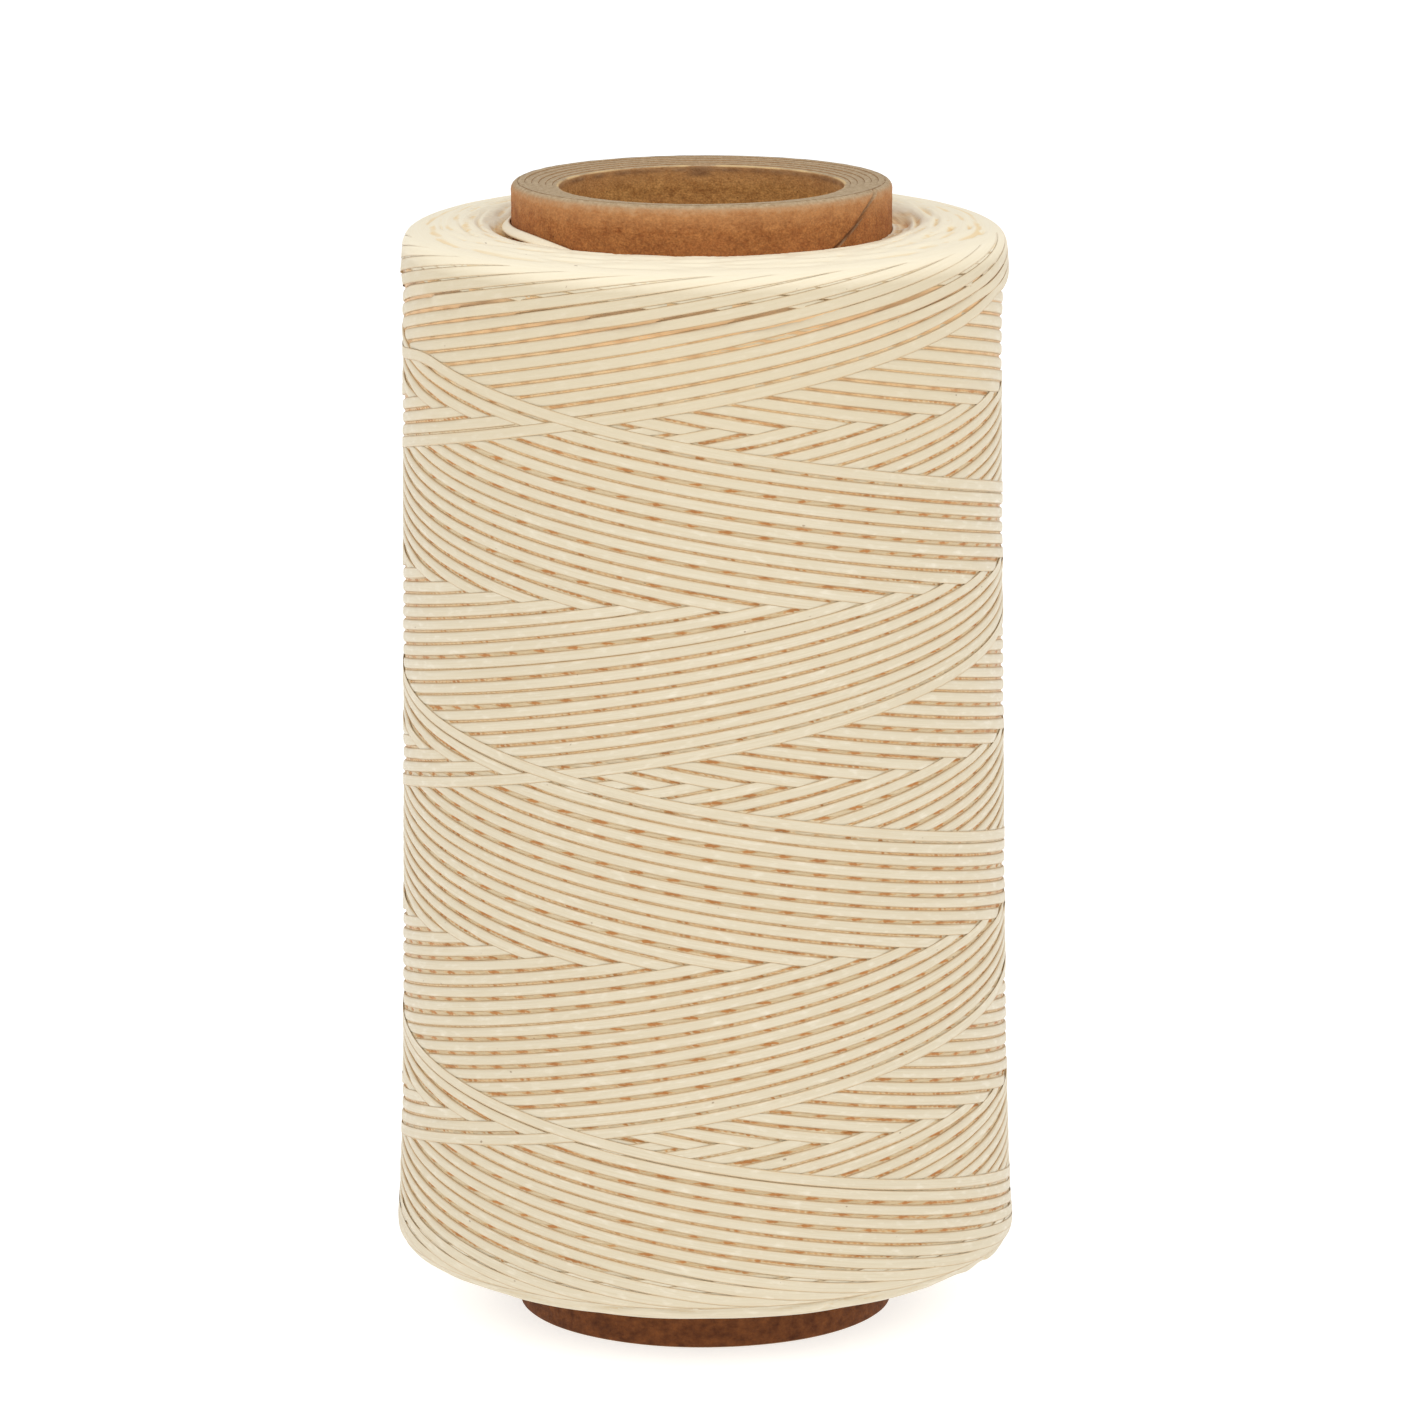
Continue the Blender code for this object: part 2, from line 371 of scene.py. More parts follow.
def pass_path(number, rising, offsets):
    """Angle and run of one pass from end to end of the package, rounded where it turns back."""
    slope = LEAD / TURN
    age = number * PITCH
    first = CROSS_ANGLE - (HALF_STROKE + age) / slope
    sweep = 2.0 * HALF_STROKE / slope
    dwell = 0.0 if rising else PITCH / slope
    count = int((sweep + dwell) * WINDING_TOP_RADIUS * 1.02 / STEP)
    angle = np.linspace(first, first + sweep + dwell, count)
    behind = np.minimum(slope * (angle - first), 2.0 * HALF_STROKE)
    ahead = np.maximum(slope * (first + sweep - angle), 0.0)
    start_round, end_round = BOTTOM_ROUNDING, TOP_ROUNDING
    if not rising:
        start_round, end_round = end_round, start_round
    eased = np.hypot(behind, start_round) - (np.hypot(ahead, end_round) - ahead)
    low = CROSS_HEIGHT - HALF_STROKE
    height = low + eased if rising else low + 2.0 * HALF_STROKE - eased
    middle = fade_in(np.minimum(behind, ahead), 8.0)
    drift = 0.35
    if rising:
        drift = -0.45 + 0.5 * np.cos(TURN * (height - CROSS_HEIGHT) / (2.0 * LEAD))
    strays = np.interp(angle, np.linspace(angle[0], angle[-1], 3), offsets)
    height = height + middle * drift + strays
    height = height + middle * wander(count, 0.09, (2.3, 5.1, 9.7))
    if number == 0 and not rising:
        height = height - last_wrap_dip(angle - (CROSS_ANGLE - TURN))
    return angle, run_at(height)


def last_wrap_dip(turned):
    """The newest wrap lies lower for half a turn before it joins its neighbours."""
    into = fade_in(math.radians(-30.0) - turned, math.radians(32.0))
    out = fade_in(turned + math.pi, math.radians(60.0))
    ease = into * into * (3.0 - 2.0 * into)
    return 3.0 * ease * out * out * (3.0 - 2.0 * out)


def wind_side():
    """Every pass that shows on the side, oldest first: a list of rising and falling pairs."""
    offsets = np.clip(random.normal(0.0, 0.06, 4 * PASSES + 1), -0.09, 0.09)
    pairs = []
    end = None
    for index, number in enumerate(reversed(range(PASSES))):
        up = lay(*pass_path(number, True, offsets[4 * index:4 * index + 3]), start=end)
        down = lay(*pass_path(number, False, offsets[4 * index + 2:4 * index + 5]),
                   start=up["high"][-1])
        end = down["high"][-1]
        pairs.append([up, down])
    return pairs


def wind_rings(runs):
    """Lays whole turns side by side, where earlier passes dwelt at an end of the package."""
    for run in runs:
        radius = float(np.interp(run, RUN, RUN_RADIUS))
        count = int(TURN * radius / STEP)
        angle = np.linspace(0.0, TURN, count) + random.random() * TURN
        path = run + round_noise(angle, 0.10, 1, 5)
        lay(angle, np.clip(path, END_MARGIN, RUN[-1] - END_MARGIN))


def wind_end(runs, outwards, arcs_per_ring):
    """Lays the turn-backs of earlier layers, which make an end face: arcs, innermost first."""
    slope = LEAD / TURN
    rounding = 1.2
    apex = random.random() * TURN
    for nearest in runs:
        for _ in range(arcs_per_ring):
            apex += TURN / arcs_per_ring + random.normal(0.0, 0.05)
            radius = float(np.interp(nearest, RUN, RUN_RADIUS))
            count = int(2.0 * END_SPREAD * radius / STEP)
            away = np.linspace(-END_SPREAD, END_SPREAD, count)
            rise = np.hypot(slope * away, rounding) - rounding
            path = nearest + outwards * (rise + abs(random.normal(0.0, 0.12)))
            path = path + wander(count, 0.08, (0.7, 1.9))
            lay(apex + away, np.clip(path, END_MARGIN, RUN[-1] - END_MARGIN), bend=9.0)


# ---- strands into meshes ----

SECTION = np.array([(-0.41, 0.76), (-0.26, 0.96), (0.0, 1.0), (0.26, 0.96), (0.41, 0.76),
                    (0.5, 0.26), (0.40, 0.03), (0.0, 0.0), (-0.40, 0.03), (-0.5, 0.26)])
MESH_EVERY = 2


def blur(field, reach):
    """The field with its detail smoothed away, joined round the spool."""
    count = 2 * reach + 1
    for _ in range(3):
        wrapped = np.pad(field, ((reach + 1, reach), (0, 0)), mode="wrap")
        total = np.cumsum(wrapped, axis=0)
        field = (total[count:] - total[:-count]) / count
    for _ in range(3):
        held = np.pad(field, ((0, 0), (reach + 1, reach)), mode="edge")
        total = np.cumsum(held, axis=1)
        field = (total[:, count:] - total[:, :-count]) / count
    return field


def pressed(height):
    """Where many strands pile up, their tension flattens the pile."""
    free = 2.2 * STRAND_THICKNESS
    return np.where(height < free, height, free + PILE_KEEPS * (height - free))


def settle():
    """The pressed surface without its strands and without its finest detail, and its relief."""
    height = laid.astype(np.float64)
    held = int(0.8 / CELL_RUN)
    height[:, :held] = height[:, held:held + 1]
    height[:, -held:] = height[:, -held - 1:-held]
    surface = pressed(height)
    relief = np.clip(blur(height, 1) - blur(height, 4), -0.16, 0.12)
    return blur(surface, 12) + 0.06, blur(surface, 2), blur(surface, 1), relief


def field_at(field, angle, run):
    """A field's values at the nearest cells."""
    a = np.round(angle / TURN * ANGLE_CELLS).astype(int) % ANGLE_CELLS
    r = np.clip(np.round(run / CELL_RUN).astype(int), 0, RUN_CELLS - 1)
    return field[a, r]


def strand_mesh(strand, number, level, around):
    """Vertices, faces and what the material reads for one strand."""
    pick = np.arange(0, len(strand["angle"]), MESH_EVERY)
    part = {key: values[pick] for key, values in strand.items()}
    across = SECTION[:, 0] * STRAND_WIDTH
    wider = 1.0 + WIDER_AT_TOP * fade_in(26.0 - part["run"][:, None], 10.0)
    angle = part["angle"][:, None] + part["side_angle"][:, None] * across * wider
    run = part["run"][:, None] + part["side_run"][:, None] * across * wider
    run = np.clip(run, 0.0, RUN[-1])
    low, high = part["low"][:, None], part["high"][:, None]
    tilt = low * (0.5 - SECTION[:, 0]) + high * (0.5 + SECTION[:, 0])
    height = pressed(tilt + STRAND_THICKNESS * SECTION[:, 1])
    sunk = SUNK_AT_TOP * fade_in(9.2 - run, 3.0)
    points = surface_point(angle, run, height - look_up(level, angle, run) - sunk)
    cavity = np.clip(field_at(around, angle, run) - height, 0.0, 2.0)
    sides = len(SECTION)
    first = np.arange(len(pick) - 1)[:, None] * sides + np.arange(sides)
    second = np.arange(len(pick) - 1)[:, None] * sides + (np.arange(sides) + 1) % sides
    quads = np.stack([first, first + sides, second + sides, second], axis=-1).reshape(-1, 4)
    along = np.broadcast_to(part["length"][:, None], angle.shape)
    place = np.stack([along, np.broadcast_to(across, angle.shape),
                      np.full(angle.shape, float(number))], axis=-1)
    return points.reshape(-1, 3), quads, place.reshape(-1, 3), cavity.ravel()


def make_strands(name, strands, fields, material, first_number):
    """One object made of several strands, each a closed ribbon."""
    points, quads, places, cavities, caps = [], [], [], [], []
    base = 0
    sides = len(SECTION)
    for offset, strand in enumerate(strands):
        p, q, place, cavity = strand_mesh(strand, first_number + offset, *fields[:2])
        points.append(p)
        quads.append(q + base)
        places.append(place)
        cavities.append(cavity)
        caps.append([base + i for i in range(sides)])
        caps.append([base + len(p) - 1 - i for i in range(sides)])
        base += len(p)
    mesh = bpy.data.meshes.new(name)
    faces = np.concatenate(quads).tolist() + caps
    mesh.from_pydata((np.concatenate(points) * MM).tolist(), [], faces)
    add_values(mesh, "strand", "FLOAT_VECTOR", np.concatenate(places))
    add_values(mesh, "cavity", "FLOAT", np.concatenate(cavities))
    return add_piece(name, mesh, material)


def make_slipped_turn(material):
    """The turn that has slipped off the winding: it leans on the tube and dives in at both ends."""
    angle = np.radians(np.linspace(SLIPPED_FROM, SLIPPED_TO, 260))
    into = fade_in(angle + math.radians(68.0), math.radians(40.0))
    out = fade_in(math.radians(-104.0) - angle, math.radians(40.0))
    edge = SLIPPED_HEIGHT - 1.8 * into ** 2 - 1.8 * out ** 2
    across = (0.5 + SECTION[:, 0]) * STRAND_WIDTH
    up = SECTION[:, 1] * STRAND_THICKNESS
    radius = TUBE_RADIUS + 0.05
    radius = radius + across * math.sin(SLIPPED_LEAN) + up * math.cos(SLIPPED_LEAN)
    height = edge[:, None] - across * math.cos(SLIPPED_LEAN) + up * math.sin(SLIPPED_LEAN)
    points = np.stack([radius * np.sin(angle)[:, None], -radius * np.cos(angle)[:, None], height],
                      axis=-1)
    along = angle[:, None] * TUBE_RADIUS
    place = np.stack(np.broadcast_arrays(along, SECTION[:, 0] * STRAND_WIDTH, SLIPPED_NUMBER),
                     axis=-1)
    sides = len(SECTION)
    start = np.arange(len(angle) - 1)[:, None] * sides
    here, following = start + np.arange(sides), start + (np.arange(sides) + 1) % sides
    quads = np.stack([here, here + sides, following + sides, following], axis=-1).reshape(-1, 4)
    caps = [list(range(sides)), [len(angle) * sides - 1 - i for i in range(sides)]]
    mesh = bpy.data.meshes.new("thread_slipped_turn")
    mesh.from_pydata((points.reshape(-1, 3) * MM).tolist(), [], quads.tolist() + caps)
    add_values(mesh, "strand", "FLOAT_VECTOR", place.reshape(-1, 3))
    add_values(mesh, "cavity", "FLOAT", np.zeros(len(angle) * sides))
    return add_piece("thread_slipped_turn", mesh, material)


def add_values(mesh, name, kind, values):
    """Stores a number or a vector at each vertex for the material to read."""
    attribute = mesh.attributes.new(name, kind, "POINT")
    key = "vector" if kind == "FLOAT_VECTOR" else "value"
    attribute.data.foreach_set(key, np.asarray(values, np.float32).ravel())


def add_piece(name, mesh, material):
    """A smooth-shaded object of the spool, riding on its one body."""
    mesh.shade_smooth()
    mesh.materials.append(material)
    piece = bpy.data.objects.new(name, mesh)
    bpy.context.scene.collection.objects.link(piece)
    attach(piece, "root")
    return piece


def make_ring(name, points, material):
    """A closed ring from a grid of points: around the spool, then round its closed section."""
    around, sides = points.shape[:2]
    ring = np.arange(around)[:, None] * sides
    after = (np.arange(around)[:, None] + 1) % around * sides
    here = np.arange(sides)
    following = (here + 1) % sides
    quads = np.stack([ring + here, after + here, after + following, ring + following], axis=-1)
    mesh = bpy.data.meshes.new(name)
    mesh.from_pydata((points.reshape(-1, 3) * MM).tolist(), [], quads.reshape(-1, 4).tolist())
    return add_piece(name, mesh, material)


def ground(angle, run, fields):
    """Lift of the surface under the strands, and its depth of painted shade: wax on the side,
    thread at the ends.  Towards the upper shoulder the wax fills the gaps more."""
    level, around, surface, relief = fields
    end = np.maximum(fade_in(TOP_SKIN - run, 3.0), fade_in(run - RUN[-1] + BOTTOM_SKIN, 3.0))
    band = fade_in(30.0 - run, 10.0)
    shallow = fade_in(17.0 - run, 3.0)
    lift = look_up(surface, angle, run) - WAX_DEPTH * (1.0 - end) - 0.015
    lift = lift + (0.04 * band + 0.03 * shallow) * (1.0 - end)
    filled = look_up(around, angle, run) - 0.5 + 0.40 * shallow
    lift = np.maximum(lift, filled)
    depth = look_up(around, angle, run) - pressed(look_up(laid, angle, run))
    shape = look_up(relief, angle, run)
    # Painted shade in the gaps: deeper gaps darker, capped lower near the shoulder and raised a
    # little just below the upper end.
    gap_shade = np.minimum(depth, 0.5 - 0.36 * band)
    gap_shade = np.maximum(gap_shade, 0.8 * band * np.maximum(-shape, 0.0)) + 0.12 * shallow
    # Painted shade in the dips and hollows of the ends, stronger at the sides.
    dip_shade = (0.25 + 0.75 * np.sin(angle) ** 2) * np.maximum(-shape - 0.02, 0.0) * (run < 50.0)
    depth = gap_shade * (1.0 - end) + end * (1.3 * dip_shade + 0.5 * hollows(angle, run))
    loose = np.maximum(fade_in(9.5 - run, 2.0), fade_in(run - RUN[-1] + 8.0, 2.0))
    return lift + RELIEF * shape * loose - look_up(level, angle, run), depth


def make_ground(name, first, last, rows, columns, fields, material):
    """A closed ring of the ground between two places down the outline."""
    angle = np.arange(columns)[:, None] / columns * TURN
    run = np.linspace(first, last, rows)[None, :]
    angle, run = np.broadcast_arrays(angle, run)
    lift, cavity = ground(angle, run, fields)
    outside = surface_point(angle, run, lift)
    inside = surface_point(angle[:, ::-8], run[:, ::-8], lift[:, ::-8] - 1.5)
    piece = make_ring(name, np.concatenate([outside, inside], axis=1), material)
    place = np.stack([outside[..., 0], run, outside[..., 1] * 0.022], axis=-1)
    below = np.stack([inside[..., 0], run[:, ::-8], inside[..., 1] * 0.022], axis=-1)
    add_values(piece.data, "strand", "FLOAT_VECTOR", np.concatenate([place, below], axis=1))
    cavity = np.clip(cavity, 0.0, 2.0)
    add_values(piece.data, "cavity", "FLOAT", np.concatenate([cavity, cavity[:, ::-8]], axis=1))
    return piece


# ---- materials ----

class Nodes:
    """Short ways to build a node tree."""

    def __init__(self, name):
        self.material = bpy.data.materials.new(name)
        self.material.use_nodes = True
        self.tree = self.material.node_tree
        self.shader = self.tree.nodes["Principled BSDF"]

    def add(self, kind, **settings):
        node = self.tree.nodes.new("ShaderNode" + kind)
        for key, value in settings.items():
            setattr(node, key, value)
        return node

    def link(self, source, target):
        self.tree.links.new(source, target)

    def value(self, socket, source):
        """Sets a socket from a number, a colour or another node's output."""
        if hasattr(source, "is_output"):
            self.link(source, socket)
        else:
            socket.default_value = source

    def math(self, operation, *values):
        node = self.add("Math", operation=operation)
        for socket, source in zip(node.inputs, values):
            self.value(socket, source)
        return node.outputs[0]

    def attribute(self, name, output="Vector"):
        return self.add("Attribute", attribute_name=name).outputs[output]

    def scaled(self, vector, scale):
        node = self.add("VectorMath", operation="MULTIPLY")
        self.value(node.inputs[0], vector)
        node.inputs[1].default_value = scale
        return node.outputs[0]

    def noise(self, vector, detail=3.0, roughness=0.55):
        node = self.add("TexNoise")
        self.value(node.inputs["Vector"], vector)
        node.inputs["Scale"].default_value = 1.0
        node.inputs["Detail"].default_value = detail
        node.inputs["Roughness"].default_value = roughness
        return node.outputs["Fac"]

    def between(self, value, low, high, to_low=0.0, to_high=1.0):
        """Maps a value from one range to another, held at the ends."""
        node = self.add("MapRange")
        self.value(node.inputs["Value"], value)
        node.inputs["From Min"].default_value = low
        node.inputs["From Max"].default_value = high
        node.inputs["To Min"].default_value = to_low
        node.inputs["To Max"].default_value = to_high
        return node.outputs["Result"]

    def mix(self, factor, first, second, blend="MIX"):
        node = self.add("Mix", data_type="RGBA", blend_type=blend)
        self.value(node.inputs[0], factor)
        self.value(node.inputs[6], first)
        self.value(node.inputs[7], second)
        return node.outputs[2]

    def ramp(self, value, *stops):
        """A colour ramp through (place, colour) stops."""
        node = self.add("ValToRGB")
        self.value(node.inputs[0], value)
        elements = node.color_ramp.elements
        while len(elements) < len(stops):
            elements.new(0.5)
        for element, (place, colour) in zip(elements, stops):
            element.position = place
            element.color = colour
        return node.outputs["Color"]

    def bump(self, height, strength, distance, before=None):
        node = self.add("Bump")
        self.value(node.inputs["Height"], height)
        node.inputs["Strength"].default_value = strength
        node.inputs["Distance"].default_value = distance
        if before is not None:
            self.link(before, node.inputs["Normal"])
        return node.outputs["Normal"]


def rgb(red, green, blue):
    """A colour as it looks on screen, 0 to 255, as the linear one that nodes use."""
    parts = [value / 255.0 for value in (red, green, blue)]
    linear = [v / 12.92 if v <= 0.04045 else ((v + 0.055) / 1.055) ** 2.4 for v in parts]
    return (*linear, 1.0)


def thread_material(name):
    """Waxed flat thread: filaments along it, painted shade on its edges and in its gaps, painted
    shade below the shoulder and painted light on its upper end.
    """
    n = Nodes(name)
    place = n.attribute("strand")
    depth = n.attribute("cavity", "Fac")
    filaments = n.noise(n.scaled(place, (0.16, 9.0, 7.3)), 4.0, 0.6)
    patches = n.noise(n.scaled(place, (0.045, 0.5, 5.1)), 2.0)
    wax = n.noise(n.scaled(place, (0.7, 2.2, 3.9)), 3.0)
    cream = n.mix(patches, rgb(206, 194, 168), rgb(219, 208, 184))
    cream = n.mix(n.between(filaments, 0.35, 0.75, 0.0, 0.9), cream, rgb(203, 188, 158))
    cream = n.mix(n.between(wax, 0.55, 0.8, 0.0, 0.5), cream, rgb(234, 226, 208))
    # Painted shade: the ribbon's edges are mixed toward tan, as if they turned away from the light.
    across = n.add("SeparateXYZ")
    n.link(place, across.inputs[0])
    side = n.math("ABSOLUTE", across.outputs["Y"])
    ribbon = n.math("LESS_THAN", side, 0.6)
    edge = n.math("MULTIPLY", n.between(side, 0.33, 0.475, 0.0, 0.75), ribbon)
    height = n.add("SeparateXYZ")
    n.link(n.add("TexCoord").outputs["Object"], height.inputs[0])
    # Painted shade: the thread darkens between these heights, below the shoulder.
    painted_band_shade = n.between(height.outputs["Z"], SHADED_BAND_FROM * MM, SHADED_BAND_ABOVE * MM, 0.0, 0.55)
    cream = n.mix(painted_band_shade, cream, rgb(206, 191, 160))
    # Painted light: the upper end is turned pale cream, as if lit more strongly.
    painted_top_light = n.between(height.outputs["Z"], LIT_TOP_FROM * MM, LIT_TOP_ABOVE * MM, 0.0, 0.92)
    cream = n.mix(painted_top_light, cream, n.mix(filaments, rgb(255, 246, 222), rgb(249, 235, 204)))
    # The painted edge shade is halved where the upper end is painted light.
    edge_shade_strength = n.between(height.outputs["Z"], LIT_TOP_FROM * MM, LIT_TOP_ABOVE * MM, 1.0, 0.5)
    cream = n.mix(n.math("MULTIPLY", edge, edge_shade_strength), cream, rgb(206, 172, 124))
    # Painted shade: the deeper a point lies below its surroundings, the darker and warmer its
    # colour, standing in for shade and for light passed through the wax in the gaps.
    painted_crevice_shade = n.ramp(n.between(depth, 0.05, 0.55),
                   (0.0, rgb(255, 255, 255)),
                   (0.25, rgb(250, 234, 206)),
                   (0.6, rgb(236, 194, 138)),
                   (1.0, rgb(196, 130, 68)))
    cream_with_painted_shade = n.mix(1.0, cream, painted_crevice_shade, "MULTIPLY")
    specks = n.noise(n.scaled(place, (1.7, 2.6, 11.3)), 0.0)
    cream_with_painted_shade = n.mix(n.between(specks, 0.875, 0.90, 0.0, 0.6), cream_with_painted_shade, rgb(120, 84, 48))
    n.link(cream_with_painted_shade, n.shader.inputs["Base Color"])
    n.link(n.between(wax, 0.3, 0.8, 0.52, 0.36), n.shader.inputs["Roughness"])
    fine = n.bump(filaments, 0.35, 0.00006)
    n.link(n.bump(wax, 0.25, 0.00012, fine), n.shader.inputs["Normal"])
    n.shader.inputs["Specular IOR Level"].default_value = 0.4
    return n.material


def bed_material(name):
    """The waxed layers seen down the gaps: painted shade, from tan to amber, where they lie deep,
    and painted light near the top.
    """
    n = Nodes(name)
    place = n.add("TexCoord").outputs["Object"]
    bands = n.noise(n.scaled(place, (300.0, 300.0, 2600.0)), 3.0)
    cavity = n.attribute("cavity", "Fac")
    # Painted shade: the deeper the gap, the more the bed turns from tan to amber.
    wall = n.mix(n.between(cavity, 0.03, 0.13), rgb(226, 208, 172), rgb(210, 174, 122))
    amber = n.mix(bands, rgb(206, 144, 80), rgb(184, 118, 56))
    wax = n.mix(n.between(cavity, 0.10, 0.18), wall, amber)
    height = n.add("SeparateXYZ")
    n.link(place, height.inputs[0])
    # Painted light: near the shoulder the bed is lightened, to offset the shade in its gaps.
    painted_bed_light = n.between(height.outputs["Z"], BED_LIGHT_FROM * MM, BED_LIGHT_ABOVE * MM, 0.0, 0.7)
    n.link(n.mix(painted_bed_light, wax, rgb(236, 202, 152)), n.shader.inputs["Base Color"])
    n.link(n.between(bands, 0.3, 0.7, 0.6, 0.45), n.shader.inputs["Roughness"])
    n.link(n.bump(bands, 0.5, 0.0001), n.shader.inputs["Normal"])
    return n.material


def paper_material(name, dark, light, end_dark, end_light):
    """Kraft paper: long fibres lying round the tube, flecks, and a furry cut end; painted shade at
    its seam, under the liner's lip and at its foot.
    """
    n = Nodes(name)
    place = n.add("TexCoord").outputs["Object"]
    mottle = n.noise(n.scaled(place, (900.0, 900.0, 1100.0)), 5.0, 0.68)
    fibres = n.noise(n.scaled(place, (2400.0, 2400.0, 4200.0)), 4.0, 0.65)
    flecks = n.noise(n.scaled(place, (2100.0, 2100.0, 2600.0)), 2.0, 0.5)
    tint = n.noise(n.scaled(place, (160.0, 160.0, 240.0)), 2.0)
    side = n.mix(n.between(mottle, 0.3, 0.72), dark, light)
    side = n.mix(n.between(tint, 0.45, 0.65, 0.0, 0.18), side, n.mix(0.5, light, rgb(190, 96, 60)))
    side = n.mix(n.between(fibres, 0.42, 0.72, 0.0, 0.5), side, light)
    side = n.mix(n.between(flecks, 0.70, 0.80, 0.0, 0.7), side, rgb(66, 34, 18))
    grain = n.noise(n.scaled(place, (5200.0, 5200.0, 6400.0)), 1.0)
    shade = n.ramp(grain, (0.3, rgb(206, 203, 200)), (0.7, rgb(255, 255, 255)))
    side = n.mix(1.0, side, shade, "MULTIPLY")
    # Painted shade: the wrap's butt seam and, on the liner, the shade under its lip and in its tear
    # are darkened.
    seam = n.math("MULTIPLY", n.math("MAXIMUM", n.attribute("seam", "Fac"), 0.0), 0.92)
    side = n.mix(seam, side, rgb(56, 30, 16))
    grit = n.noise(n.scaled(place, (2600.0, 2600.0, 2600.0)), 4.0, 0.7)
    end = n.mix(n.between(grit, 0.3, 0.7), end_dark, end_light)
    fuzz = n.between(n.attribute("seam", "Fac"), -0.7, -0.1, 0.85, 0.0)
    normal = n.add("SeparateXYZ")
    n.link(n.add("NewGeometry").outputs["Normal"], normal.inputs[0])
    upward = n.math("ABSOLUTE", normal.outputs["Z"])
    height = n.add("SeparateXYZ")
    n.link(place, height.inputs[0])
    ragged = n.math("MULTIPLY_ADD", mottle, 0.0016, height.outputs["Z"])
    rim = TUBE_HEIGHT * MM
    tanned = n.between(ragged, rim - 0.0016, rim + 0.0002, 0.0, 0.55)
    side = n.mix(tanned, side, n.mix(fibres, rgb(186, 130, 80), rgb(206, 158, 108)))
    # Painted shade: the tube darkens towards its bottom, under the winding's overhang.
    foot = n.between(height.outputs["Z"], 0.002, 0.009, 1.0, 0.0)
    foot_shade = n.mix(n.between(mottle, 0.3, 0.7), rgb(76, 38, 16), rgb(130, 76, 38))
    side = n.mix(foot, side, foot_shade)
    worn = n.between(ragged, rim - 0.0001, rim + 0.0008, 0.0, 0.6)
    side = n.mix(worn, side, end)
    cut = n.math("MULTIPLY", n.between(upward, 0.45, 0.9), n.math("SUBTRACT", 1.0, seam))
    paper = n.mix(fuzz, n.mix(cut, side, end), rgb(222, 190, 138))
    n.link(paper, n.shader.inputs["Base Color"])
    n.link(n.between(fibres, 0.3, 0.7, 0.9, 0.72), n.shader.inputs["Roughness"])
    rough = n.bump(grit, 0.5, 0.0002)
    n.link(n.bump(fibres, 0.45, 0.00016, rough), n.shader.inputs["Normal"])
    n.shader.inputs["Specular IOR Level"].default_value = 0.25
    return n.material


def floor_material(name):
    """Plain white studio card, lit a little from beneath as on a light table."""
    n = Nodes(name)
    place = n.add("TexCoord").outputs["Object"]
    grain = n.noise(n.scaled(place, (60.0, 60.0, 60.0)), 2.0)
    n.link(n.mix(grain, rgb(206, 206, 206), rgb(210, 210, 210)), n.shader.inputs["Base Color"])
    n.shader.inputs["Roughness"].default_value = 0.9
    n.shader.inputs["Emission Color"].default_value = (1.0, 1.0, 1.0, 1.0)
    n.shader.inputs["Emission Strength"].default_value = CARD_GLOW
    return n.material


# ---- the tube ----

def ply_section(inner, outer, rounding_out, rounding_in, rows):
    """Radii and heights of one ply's section, closest together near the upper end."""
    turn = np.radians(np.linspace(0.0, 90.0, 6))
    top, low = TUBE_HEIGHT, 0.0
    out_r = outer - rounding_out * (1.0 - np.cos(turn))
    out_z = top - rounding_out * (1.0 - np.sin(turn))
    in_r = inner + rounding_in * (1.0 - np.cos(turn[::-1]))
    in_z = top - rounding_in * (1.0 - np.sin(turn[::-1]))
    up = np.linspace(low + 0.4, top - max(rounding_out, 0.1) - 0.05, rows)
    close = np.linspace(top - max(rounding_in, 0.1) - 0.05, top - 2.4, 18)
    down = np.concatenate([close, np.linspace(top - 2.8, low + 0.4, rows - 18)])
    foot_r = np.array([inner + 0.03, inner + 0.15, outer - 0.15, outer - 0.03])
    foot_z = np.array([low + 0.1, low, low, low + 0.1])
    radius = np.concatenate([np.full(rows, outer), out_r, in_r, np.full(rows, inner), foot_r])
    height = np.concatenate([up, out_z, in_z, down, foot_z])
    return radius, height


def seam_columns(count):
    """Angles round the tube, with extra columns where the outer ply's edges meet."""
    plain = np.arange(1, count) / count * TURN
    close = np.linspace(-0.9, 0.9, 25) / TUBE_RADIUS
    return np.sort(np.concatenate([plain[(plain > 0.07) & (plain < TURN - 0.07)], close % TURN]))


def seam_offset(column, height):
    """How far a point of the outer ply is from its butt seam, which isn't quite straight."""
    straight = (column[:, None] + math.pi) % TURN - math.pi
    return straight * TUBE_RADIUS + 0.16 * np.sin(height * 1.9) + 0.08 * np.sin(height * 4.7)


